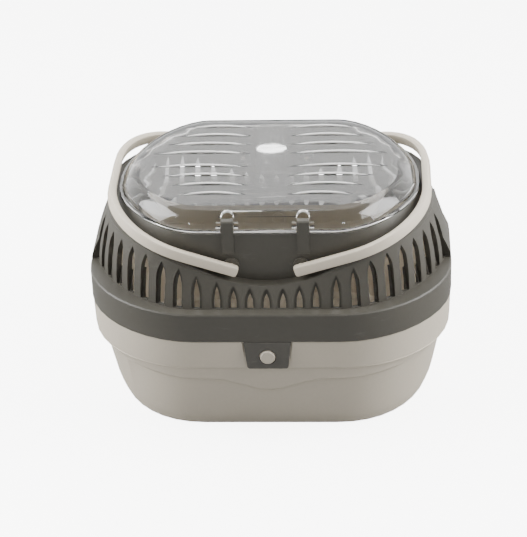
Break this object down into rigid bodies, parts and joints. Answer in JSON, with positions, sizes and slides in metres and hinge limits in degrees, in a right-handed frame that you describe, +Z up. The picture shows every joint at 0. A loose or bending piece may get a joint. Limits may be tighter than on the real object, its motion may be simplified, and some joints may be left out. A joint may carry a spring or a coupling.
{
  "type": "plastic pet keeper",
  "caption": "Small-animal keeper with a pale tub, a dark vented shell held by lock tabs, a clear hinged lid and two folding carrying bows.",
  "frame": {"origin": "centre of the tub's underside, on the surface that it stands on", "axes": "+Z up, +X to the right seen from the front, -Y towards the front, where the lid is hinged"},
  "size_m": [0.3028, 0.239, 0.195],
  "materials": {
    "tub_plastic": "fine matte texture, pale grey-cream",
    "shell_plastic": "fine matte texture, dark grey-olive",
    "tab_plastic": "fine matte texture, dark grey",
    "bow_plastic": "satin, pale cream",
    "clear_plastic": "clear polished plastic"
  },
  "bodies": {
    "tub": {"base_tub": "tub_plastic"},
    "shell": {"upper_shell": "shell_plastic"},
    "lid": {"lid": "clear_plastic"},
    "left_bow": {"left_handle": "bow_plastic"},
    "right_bow": {"right_handle": "bow_plastic"},
    "latch": {"lid_latch": "shell_plastic"},
    "front_tab": {"front_lock_tab": "tab_plastic"},
    "rear_tab": {"rear_lock_tab": "tab_plastic"},
    "left_tab": {"left_lock_tab": "tab_plastic"},
    "right_tab": {"right_lock_tab": "tab_plastic"}
  },
  "joints": [
    {"name": "shell_lift", "type": "slide", "parent": "tub", "child": "shell", "axis": [0, 0, 1], "range_m": [0, 0.12]},
    {"name": "lid_hinge", "type": "hinge", "parent": "shell", "child": "lid", "pos_m": [0, -0.09114, 0.1846], "axis": [1, 0, 0], "range_deg": [0, 100]},
    {"name": "left_bow_pivot", "type": "hinge", "parent": "shell", "child": "left_bow", "pos_m": [-0.0278, 0, 0.1496], "axis": [0, -1, 0], "range_deg": [-81.4, 1.6]},
    {"name": "right_bow_pivot", "type": "hinge", "parent": "shell", "child": "right_bow", "pos_m": [0.0278, 0, 0.1496], "axis": [0, 1, 0], "range_deg": [-83, 0]},
    {"name": "latch_flex", "type": "hinge", "parent": "shell", "child": "latch", "pos_m": [0, 0.09604, 0.1531], "axis": [-1, 0, 0], "range_deg": [0, 15]},
    {"name": "front_tab_hinge", "type": "hinge", "parent": "shell", "child": "front_tab", "pos_m": [0, -0.117, 0.0909], "axis": [-1, 0, 0], "range_deg": [0, 35]},
    {"name": "rear_tab_hinge", "type": "hinge", "parent": "shell", "child": "rear_tab", "pos_m": [0, 0.117, 0.0909], "axis": [1, 0, 0], "range_deg": [0, 35]},
    {"name": "left_tab_hinge", "type": "hinge", "parent": "shell", "child": "left_tab", "pos_m": [-0.1489, 0, 0.0909], "axis": [0, 1, 0], "range_deg": [0, 35]},
    {"name": "right_tab_hinge", "type": "hinge", "parent": "shell", "child": "right_tab", "pos_m": [0.1489, 0, 0.0909], "axis": [0, -1, 0], "range_deg": [0, 35]}
  ]
}
